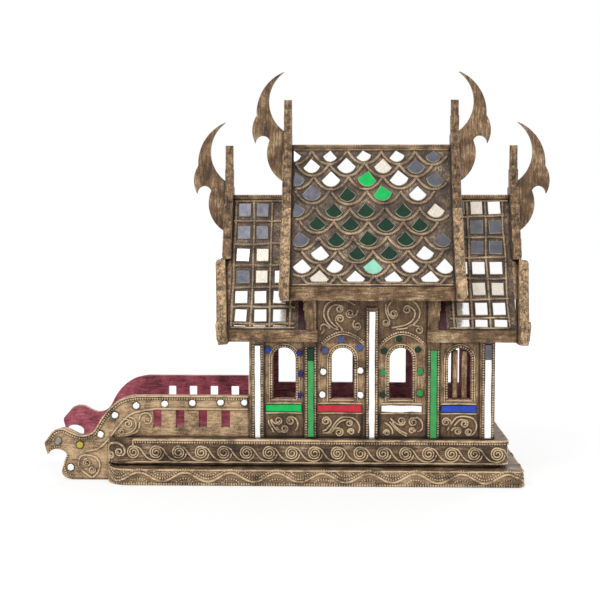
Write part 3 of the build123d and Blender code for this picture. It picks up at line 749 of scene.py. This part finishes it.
TALL_PANELS = (
    ((((27.4, 36.6), 3.9, 100, 1.5, (22.3, 40.4), (17.6, 36.9), (15.7, 31.6), (17.6, 25.7), (21.3, 20.9),
       (26.1, 17.2)),
      ((38, 32.1), 4.6, 320, 1.6, (44.3, 31), (46, 35.8)),
      ((27.9, 26.5), 4.3, 175, 1.5, (24.2, 23.1), (26.6, 19.9), (29.8, 16.7), (30.4, 13.8)),
      ((45.5, 19.3), 4.2, 180, -1.6, (41.2, 22), (42.6, 25.2))),
     (((26.6, 15.6), (21.3, 17.2), (17, 20.4), (13.3, 25.7), (11.7, 32.1), (13.3, 39), (17.6, 43.3),
       (23.9, 45.4), (31, 45.6), (37.2, 43.8), (43.6, 40.1)),
      ((18.6, 16.1), (15.4, 19.3), (11.7, 20.9), (8.5, 18.8), (8.5, 15.1)),
      ((12.8, 16.1), (9, 10.8)))),
    ((((31, 35.6), 4.4, 30, -1.5, (38.4, 34.2), (38.4, 28.9), (35.5, 24.1), (30.7, 20.9), (23.8, 18.8),
       (15.3, 17.2)),
      ((17.4, 31.3), 4.6, 190, -1.8, (11.5, 36.4), (13.1, 41.1), (16.3, 44.3)),
      ((9.9, 22.5), 3.8, 20, 1.6, (12.1, 27.3), (9.7, 33.7), (9.7, 41.7)),
      ((42.9, 15.1), 4.2, 110, 1.4, (35.5, 20.1), (30.7, 17.2))),
     (((36, 44.3), (40.3, 41.1), (43.5, 34.8), (42.9, 28.4), (40.3, 23.6), (35.5, 19.9), (28.6, 16.7),
       (20, 16.1)),)),
)
PANEL_WIDTHS = (42, 48, 48.4, 42.6)
PANEL_CORNERS = ((-109.4, 41.6), (-57.8, 42), (6.8, 42.5), (67.2, 43))
TALL_CORNERS = ((-60, 138.6), (4.2, 138.9))


def panel(carving, face, corner, drawing, radius, paint=None):
    """The lines of one scroll panel."""
    spirals, stems = drawing
    for line in [stemmed(*spiral) for spiral in spirals] + [curve(*stem) for stem in stems]:
        carving.strand(face, [(corner[0] + u, corner[1] + v) for u, v in line], radius, paint=paint)


def dots(carving, face, groups, seed):
    """Round beads, in groups of one paint and the places along and up."""
    for k, (paint, place) in enumerate((paint, place) for paint, *places in groups for place in places):
        carving.disc(face, *place, DOT_RADIUS, paint, seed=seed + k)


def long_side(side_name, side):
    wall, post = side_face(side, WALL_FACE), side_face(side, POST_FACE)
    lines, glasses = relief_and_glass(f"{side_name}_wall", "gilded_wood")
    for k, (left, right, low, high, paint) in enumerate(POST_STRIPS):
        joint, top_paint = STRIP_TOPS.get(k, (high, paint))
        glasses.bar(post, left, low, right, joint, paint, seed=k)
        if joint < high:
            glasses.bar(post, left, joint + 0.3, right, high, top_paint, seed=k)
        for along in (left - 1.5, right + 1.5):
            lines.strand(post, [(along, max(low, WALL_FOOT)), (along, high + 1)], 0.85, "bead")
    for k, (left, right, paint) in enumerate(SILL_STRIPS):
        glasses.bar(wall, left, SILL_LOW, right, SILL_HIGH, paint, 2, 0.45, seed=20 + k)
        for up in (SILL_LOW - 1.5, SILL_HIGH + 1.5):
            lines.strand(wall, [(left - 0.5, up), ((left + right) / 2, up + 0.4), (right + 0.5, up)], 0.9)
    for k, middle in enumerate(WINDOWS):
        lines.strand(wall, window_line(middle, 1.5, WINDOW_SILL - 1), 1.05, "bead")
        lines.strand(wall, window_line(middle, 3.6, WINDOW_SILL - 3), 0.7)
        sill = WINDOW_SILL - 1.6
        lines.strand(wall, [(middle - WINDOW_HALF - 2, sill), (middle + WINDOW_HALF + 2, sill)], 0.7)
    for middle in (-29.3, 30.4):
        lines.strand(wall, eyebrow(middle, 139.6, 12.4, 22.4), 1, "bead")
        lines.strand(wall, eyebrow(middle, 137.6, 12, 22), 0.6)
    for corner, width, drawing in zip(PANEL_CORNERS, PANEL_WIDTHS, PANELS):
        panel(lines, wall, corner, drawing, 0.95)
        left, right, low, high = corner[0] + 1.2, corner[0] + width, 45.4, 68
        border = ((left, high), (left, low + CORNER), (left + CORNER, low), (right - CORNER, low),
                  (right, low + CORNER), (right, high))
        # A near-black line round the left, bottom and right of each panel: painted shadow at the edge of its
        # recess.
        lines.strand(wall, border, 0.9, paint=PANEL_SHADOW_LINE, height=0)
    for corner, drawing in zip(TALL_CORNERS, TALL_PANELS):
        panel(lines, wall, corner, drawing, 0.95, ROOF_ROPE)
    dots(glasses, wall, DOTS, 40)
    bars = Carving(f"{side_name}_window_bars", "gilded_wood")
    inner = side_face(side, BAR_FACE)
    for left, right in ((81.3, 86.3), (90.4, 95.6)):
        low, high = WINDOW_SILL - 0.5, WINDOW_SPRING + 11.6 - abs((left + right) / 2 - 88) * 0.6
        outline = ((left, low), (right, low), (right, high), (left, high))
        bars.chip(inner, outline, GOLD_UPRIGHT, 2.6, edge=0.4)


# Plinth: running spirals above, a wave rope below

def running_spirals(start, count):
    """Lines of the running scroll: each spiral opens over its top and runs down under the next."""
    lines = []
    for k in range(count):
        middle = start + SPIRAL_PITCH * k
        line = curl((middle, SPIRAL_HEIGHT), 6.6, 100, -2.3, 0.8)
        tail = ((6, 4.2), (10.2, -1.6), (15.2, -6.6), (22.8, -8.2), (28.6, -5.4), (30.6, -1))
        line += curve(line[-1], *[(middle + u, SPIRAL_HEIGHT + v) for u, v in tail])[1:]
        lines.append(line)
    return lines


def wave(face, carving, start, finish, middle):
    """A wave rope with a beaded arc and short comb strokes in each of its hollows."""
    path = []
    steps = int((finish - start) / 1.5)
    for k in range(steps + 1):
        along = start + (finish - start) * k / steps
        path.append((along, middle + WAVE_LIFT * math.cos(TAU * (along - WAVE_CREST) / WAVE_LENGTH)))
    carving.strand(face, path, 1.4)
    carving.strand(face, [(u, v + 2.9) for u, v in path], 1, "bead")
    half = WAVE_LENGTH / 2
    for k in range(math.ceil((start - WAVE_CREST) / half), int((finish - WAVE_CREST) / half) + 1):
        at = WAVE_CREST + half * k
        sign = 1 if k % 2 == 0 else -1
        base = middle - sign * HOLLOW

        def arc_point(size, n):
            angle = math.pi * n / 12
            return at + size * math.cos(angle), base + sign * size * ARC_SQUASH * math.sin(angle)

        arc = [point for point in (arc_point(ARC_SIZE, n) for n in range(13)) if start < point[0] < finish]
        if len(arc) > 5:
            carving.strand(face, arc, 0.85, "bead")
        for n in range(1, 12, 2):
            a, b = arc_point(COMB_START, n), arc_point(COMB_END, n)
            if start < a[0] < finish and start < b[0] < finish:
                carving.strand(face, [a, b], 0.5, sides=4)


UPPER_PLINTH = (71, 266, 136, 11, 7)
LOWER_PLINTH = (84.5, 265, 150, 22, 7)
WAVE_LENGTH, WAVE_LIFT, WAVE_CREST = 45.8, 4.5, -3
HOLLOW, ARC_SIZE, ARC_SQUASH, COMB_START, COMB_END = 6.8, 8.4, 0.62, 4.2, 6.6
SPIRAL_PITCH = 22.8
SPIRAL_HEIGHT = 30.8
FIRST_SPIRAL = -239.5
BAND_START = -240
FRONT_START = -284
FRONT_STEMS = (((-270.5, 4), (-272, 20), (-271.5, 31), (-265, 38.2), (-256, 40), (-249.8, 36), (-248.4, 30),
                (-251.5, 27)), ((-268.3, 18.5), (-267.5, 25), (-265.6, 30)))


def plinth_side(side_name, side):
    """Each side's ornament runs round both corners to the middle of the front and of the rear."""
    upper, step = StepFace(side, *UPPER_PLINTH), StepFace(side, *LOWER_PLINTH)
    lines = Carving(f"{side_name}_plinth_relief", "base_wood")
    for line in running_spirals(FIRST_SPIRAL, 19):
        lines.strand(upper, [(min(u, upper.high - 1), v) for u, v in line], 0.85)
    for line in running_spirals(upper.low + 10, 2):
        lines.strand(upper, [(min(u, FRONT_START), v) for u, v in line], 0.85)
    for left, right in ((BAND_START, upper.high - 0.5), (upper.low + 0.5, FRONT_START)):
        for up, radius, kind in ((40.9, 1.1, "bead"), (43.3, 1.2, "plain"), (21, 0.9, "plain")):
            lines.strand(upper, [(left, up), (right, up)], radius, kind)
    lines.strand(upper, [(BAND_START, 37.5), (BAND_START, 43.5)], 0.9)
    wave(step, lines, step.low + 1, step.high - 1, 8.8)
    lines.strand(step, [(step.low + 0.5, 1.8), (step.high - 0.5, 1.8)], 1.35, "bead")
    lines.strand(step, [(step.low + 0.5, 15.5), (step.high - 0.5, 15.5)], 0.9)
    for line in FRONT_STEMS:
        lines.strand(upper, curve(*[(u, max(v, 20.5)) for u, v in line]), 1.2)
    lines.strand(upper, stemmed((-254, 31), 4, 300, 1.5), 1.1)
    lines.strand(upper, stemmed((-263, 27.6), 4.2, 110, -1.6, (-267, 24), (-266.8, 20.6)), 1.1)


# Balustrades

RAIL_TOP, NECK = 86.7, -230
RAIL_LINE = ((-237, RAIL_TOP), (-248, 84.8), (-257, 80.8), (-266, 73), (-274, 63), (-283, 49), (-294, 45.5),
             (-303, 48), (-314, 52.5), (-323.5, 49.6), (-331, 40))
CHIN_LINE = ((-310.5, 27), (-314, 18), (-314.5, 11), (-311, 4.5), (-304, 1))
RAIL_DOTS = ((CLOUDY, (-318.4, 39.5)), (YELLOW, (-296.2, 35.6)),
             (MIRROR, (-305.9, 12.4), (-274.9, 46.4), (-260, 66.3), (-238.2, 76), (-209.3, 78.1),
              (-181.1, 79.1), (-152.5, 79.7), (-128.3, 79.8)))
MOUTH_LINE = ((-328, 29), (-323, 33.2), (-316, 33.8))
LEVEL_LINE = ((-218.5, 73.2), (-224, 72.2), (-231.6, 71), (-241, 68.6), (-249.5, 63), (-258.5, 52.6),
              (-267.4, 41), (-277.5, 32.2), (-291, 28.7))
# The scrolls on the naga's neck and breast, each with its radius first.
NAGA_STEMS = (
    (1.05, (-235.5, 60.6), (-233.6, 67), (-226.5, 68.8), (-222.6, 63.8), (-224.5, 58.4), (-229.5, 58.6),
     (-230.2, 62.6)),
    (1.2, (-267.2, 39), (-258.3, 43.2), (-243.5, 47), (-236.6, 51), (-234.4, 60)),
    (1, (-266.6, 40.6), (-255, 45.6), (-243.5, 49.2), (-238.6, 55), (-240.4, 62.4), (-246, 64.6)),
    (1.15, (-283.9, 1.6), (-295, 10), (-297.9, 16), (-295.6, 23.5), (-288.1, 25.4), (-279.8, 22.6),
     (-276, 16), (-277.9, 8), (-283.9, 1.6)),
)
NAGA_SPIRALS = (
    (1, (-246.8, 57.6), 4.4, 100, 1.5, (-251.6, 62.4), (-250.6, 63)),
    (0.95, (-253.4, 49.4), 3.4, 60, -1.5),
    (1, (-288.9, 17.4), 4.3, 90, -1.6),
    (1, (-284, 10), 3.8, 40, 1.6),
)


def inset(path, distance):
    """The line moved to its left by a distance, seen along it."""
    result = []
    for k in range(len(path)):
        a, b = Vector(path[max(0, k - 1)]), Vector(path[min(len(path) - 1, k + 1)])
        ahead = (b - a).normalized()
        result.append((path[k][0] - ahead.y * distance, path[k][1] + ahead.x * distance))
    return result


def balustrade(side_name, side, lead, lift):
    """The naga rail. The far one reaches on and stands a little higher, and its ornament with it."""
    board = side_face(side, RAIL_FACE)
    lines, glasses = relief_and_glass(f"{side_name}_balustrade", "gilded_wood")

    def moved(path):
        return [(u - lead, v + lift) for u, v in path]

    def rope(path, radius, kind="plain"):
        lines.strand(board, path, radius, kind)

    rail = [(-124, RAIL_TOP + lift), (-180, RAIL_TOP + lift)] + moved(curve(*RAIL_LINE))
    rope(inset(rail, 1), 0.95)
    rope(inset(rail, 3.3), 1.05, "bead")
    # On the far board the level rope starts past the slots.
    rope(moved(([(-124, 73)] if side == NEAR else []) + curve(*LEVEL_LINE)), 1.1)
    rope(inset(moved(curve(*CHIN_LINE)), 2.4), 0.9, "bead")
    for radius, *points in NAGA_STEMS:
        rope(moved(curve(*points)), radius)
    for radius, *spiral in NAGA_SPIRALS:
        rope(moved(stemmed(*spiral)), radius)
    rope(moved(curve(*MOUTH_LINE)), 0.8, "bead")
    dots(glasses, board, [(paint, *[(u - (lead if u < NECK else 0), v + lift) for u, v in places])
                          for paint, *places in RAIL_DOTS], 80)


# Gables and end walls

END_FACE, LOFT_FACE, BOARD_PROUD, SKIRT_PROUD = 123, 67.6, 8.3, 9.05
PEDIMENT_FOOT = 163
PEDIMENT_DOTS = ((MIRROR, (0, 170)), (RED, (0, 188)), (MIRROR, (0, 205)), (GREEN, (0, 222)),
                 (MIRROR, (0, 236)), (BLUE, (-46, 168), (46, 168)))
DOOR_DOTS = ((56, MIRROR), (72, BLUE), (88, MIRROR), (104, GREEN), (120, MIRROR))
DOOR_SPIRALS = (((33.4, 134.6), 5, 200, 1.6, (25, 141), (12, 146)),
                ((20, 146.5), 4, 250, -1.5, (26, 143), (38, 146)))
# A gable's scrolls: the size, the place up and across, and the angle where each leaves.
SPRAY = ((7.6, 12, 15, 150), (6.6, 11, 33, 150), (6.4, 31, 10.5, 160), (5, 29, 24, 150), (4.8, 48, 10, 170),
         (3.8, 64, 9, 180))
# Each level of gable: its roof's bow, the board's inner face, the skirt's foot, where board and skirt meet,
# the ridge, and how far the skirt leans out.
LOWER_GABLE = (LOWER_BOW, 143.5, 142, 224, 286, 6)
UPPER_GABLE = (UPPER_BOW, 82.3, 185, 276, 338, 0)


def gable_boards(name, end, bow, inner, foot_z, split_z, ridge_z, lean):
    """Ropes along both edges of the bargeboards and skirts, with small mirrors between them."""
    lines, glasses = relief_and_glass(f"{name}_barge", "roof_wood", ROOF_ROPE)
    board = end_face(end, inner + BOARD_PROUD)
    skirt = end_face(end, inner + SKIRT_PROUD, lean / (split_z - foot_z), foot_z)
    for side in (NEAR, FAR):
        slope = Slope(side, *bow)
        for face, low, high in ((board, split_z + 1.5, ridge_z - 6), (skirt, foot_z + 3, split_z - 2.5)):
            for rise in (5.6, -10.4):
                lines.strand(face, slope.edge(rise, low, high), 1, "rope")
            middles = slope.edge(-2.4, low + 4, high - 6)[::5]
            for k, (along, up) in enumerate(middles):
                glasses.disc(face, along, up, 2.9, (MIRROR, GREEN, MIRROR, RED)[k % 4], seed=k)
        tail = [(side * u, foot_z + v) for u, v in ((66, 3), (76, 2.6), (82.4, 5.4), (84.6, 12), (85.6, 20))]
        lines.strand(skirt, curve(*tail), 0.95)


def spray(face, carving):
    """A spray of paired scrolls that climbs a pediment from its foot."""
    for size, rise, across, turn in SPRAY:
        up = PEDIMENT_FOOT + rise
        line = stemmed((across, up), size, turn, -1.6, (across - size - 1, up - size * 0.9),
                       (max(across - size - 7, 4.8), up - size - 3.5))
        both_halves(carving, face, line, 1.05)


def doorway(lines, glasses, wall):
    """The ornament round the door in the front wall."""
    for gap, radius, kind in ((1.6, 1, "bead"), (4, 1.1, "rope")):
        lines.strand(wall, window_line(0, gap, 45.6, 22, 114.4), radius, kind)
    for sign in (-1, 1):
        dots(glasses, wall, [(paint, (sign * 36, up)) for up, paint in DOOR_DOTS], 0)
    for along, top in ((31, 126), (41, 141)):
        both_halves(lines, wall, [(along, WALL_FOOT), (along, top)], 0.9)
    for spiral in DOOR_SPIRALS:
        both_halves(lines, wall, stemmed(*spiral), 1)
    glasses.disc(wall, 0, 147, 4.2, RED, seed=9)


def rear_windows(lines, glasses, wall):
    """The ornament round the two windows of the rear wall, and the strip between them."""
    glasses.bar(wall, -3, 45.6, 3, 141, GREEN, seed=4)
    both_halves(lines, wall, [(4.5, WALL_FOOT), (4.5, 142)], 0.8, "bead")
    for middle, paint, drawing in ((-27, RED, PANELS[0]), (27, BLUE, PANELS[3])):
        lines.strand(wall, window_line(middle, 1.4, WINDOW_SILL - 1), 0.9, "bead")
        lines.strand(wall, eyebrow(middle, 139.6, 11, 17), 1, "bead")
        glasses.bar(wall, middle - 17, SILL_LOW, middle + 16, SILL_HIGH, paint, 2, 0.45, seed=7)
        for up in (SILL_LOW - 1.5, SILL_HIGH + 1.5):
            lines.strand(wall, [(middle - 17.5, up), (middle + 17.5, up)], 0.9)
        for up, dot in ((90, MIRROR), (111, GREEN), (132, MIRROR)):
            for along in (middle - 17.4, middle + 16.2):
                glasses.disc(wall, along, up, 2.9, dot, seed=up)
        panel(lines, wall, (middle - 21.5, 44.4), drawing, 0.85)


def end_wall(end_name, end):
    """The doorway wall or the wall with two windows, and the pediment above."""
    wall = end_face(end, END_FACE)
    lines, glasses = relief_and_glass(f"{end_name}_wall", "gilded_wood")
    for left in (-52.4, 46.6):
        glasses.bar(wall, left, 46, left + 5.8, 140, MIRROR, seed=3)
    for along in (45.1, 53.6):
        both_halves(lines, wall, [(along, WALL_FOOT), (along, 141)], 0.8, "bead")
    (doorway if end < 0 else rear_windows)(lines, glasses, wall)
    for up, radius, kind in ((157.2, 1.2, "rope"), (160.4, 0.9, "bead")):
        lines.strand(wall, [(-53, up), (53, up)], radius, kind)
    spray(wall, lines)
    for side in (NEAR, FAR):
        lines.strand(wall, Slope(side, *LOWER_BOW).edge(-8.4, PEDIMENT_FOOT, 268), 1.2, "rope")
    dots(glasses, wall, PEDIMENT_DOTS, 60)


def loft_wall(end_name, end):
    """The band of gable that shows between the lower roof and the upper one."""
    wall = end_face(end, LOFT_FACE)
    lines, glasses = relief_and_glass(f"upper_{end_name}_gable", "gilded_wood")
    for side in (NEAR, FAR):
        upper, lower = Slope(side, *UPPER_BOW), Slope(side, *LOWER_BOW)
        lines.strand(wall, upper.edge(-8, 200, 322), 1.1, "rope")
        lines.strand(wall, lower.edge(3.4, 172, 284), 1, "bead")
        for k, (along, up) in enumerate(lower.edge(12, 182, 292)[::5]):
            glasses.disc(wall, along, up, 3.1, (MIRROR, BLUE, MIRROR, GREEN)[k % 4], seed=k)


for side_name, side in SIDES:
    upper_roof(side_name, side)
    lower_roof("front", -1, FRONT_GRID, side_name, side)
    lower_roof("rear", 1, REAR_GRID, side_name, side)
    long_side(side_name, side)
    plinth_side(side_name, side)
balustrade("near", NEAR, 0, 0)
balustrade("far", FAR, 6, 5)
ridge_ropes()
for level, gable in (("lower", LOWER_GABLE), ("upper", UPPER_GABLE)):
    for end_name, end in ENDS:
        gable_boards(f"{level}_{end_name}", end, *gable)
for end_name, end in ENDS:
    end_wall(end_name, end)
    loft_wall(end_name, end)
for carving in CARVINGS:
    carving.done()


# Camera, floor and light

scene = bpy.context.scene
camera = placed("camera", bpy.data.cameras.new("camera"))
camera.location = (-0.03465, -1.2595, 0.2729)
camera.rotation_euler = (math.radians(90 - 4.24), 0, math.radians(1.79))
camera.data.lens = 72
camera.data.sensor_width = 36
scene.camera = camera
scene.view_settings.view_transform = "Standard"


def white_to_view(paint, surface, share, white, output):
    """What the camera, mirrors and glass see turns towards plain white, and the rest keeps the surface."""
    path = paint.tree.nodes.new("ShaderNodeLightPath").outputs
    seen = paint.math("MAXIMUM", path["Is Camera Ray"], path["Is Glossy Ray"])
    seen = paint.math("MAXIMUM", seen, path["Is Transmission Ray"])
    mix = paint.tree.nodes.new("ShaderNodeMixShader")
    for socket, value in zip(mix.inputs, (paint.times(seen, share), surface, white)):
        paint.put(socket, value)
    paint.node(output, None, Surface=mix.outputs[0])


world = bpy.data.worlds.new("studio")
scene.world = world
sky = Tree(world)
white_to_view(sky, sky.node("ShaderNodeBackground", Color=(0.98, 0.99, 1, 1), Strength=0.55), 1,
              sky.node("ShaderNodeBackground", Color=(1, 1, 1, 1), Strength=1), "ShaderNodeOutputWorld")

FLOOR_HALF, FLOOR_LEVEL = 6, -0.0004
floor_mesh = bpy.data.meshes.new("studio_floor")
floor_mesh.from_pydata([(x * FLOOR_HALF, y * FLOOR_HALF, FLOOR_LEVEL) for x, y in SQUARE], [], [(0, 1, 2, 3)])
studio_floor = placed("studio_floor", floor_mesh)
floor_material = bpy.data.materials.new("studio_floor")
floor_mesh.materials.append(floor_material)
ground = Tree(floor_material)
# Close to the house the floor keeps the shadow, and farther out it turns plain white.
NEAR_SHARE, FADE_START, FADE_END = 0.6, 0.45, 1.6
away = ground.tree.nodes.new("ShaderNodeVectorMath")
away.operation = "LENGTH"
ground.put(away.inputs[0], ground.place)
white_to_view(ground, ground.node("ShaderNodeBsdfDiffuse", Color=(0.88, 0.88, 0.88, 1)),
              ground.spread(away.outputs["Value"], FADE_START, FADE_END, NEAR_SHARE, 1),
              ground.node("ShaderNodeEmission", Color=(1, 1, 1, 1), Strength=1.2), "ShaderNodeOutputMaterial")


def softbox(name, place, watts, size):
    data = bpy.data.lights.new(name, "AREA")
    data.energy = watts
    data.shape = "DISK"
    data.size = size
    lamp = placed(name, data)
    lamp.location = place
    lamp.rotation_euler = (Vector((0, 0, 0.15)) - Vector(place)).to_track_quat("-Z", "Y").to_euler()


softbox("key", (-1.1, -1.9, 2.1), 28, 1.6)
softbox("fill", (1.8, -1.5, 1.2), 9, 1.6)
softbox("back_key", (0.9, 2, 2), 18, 1.6)
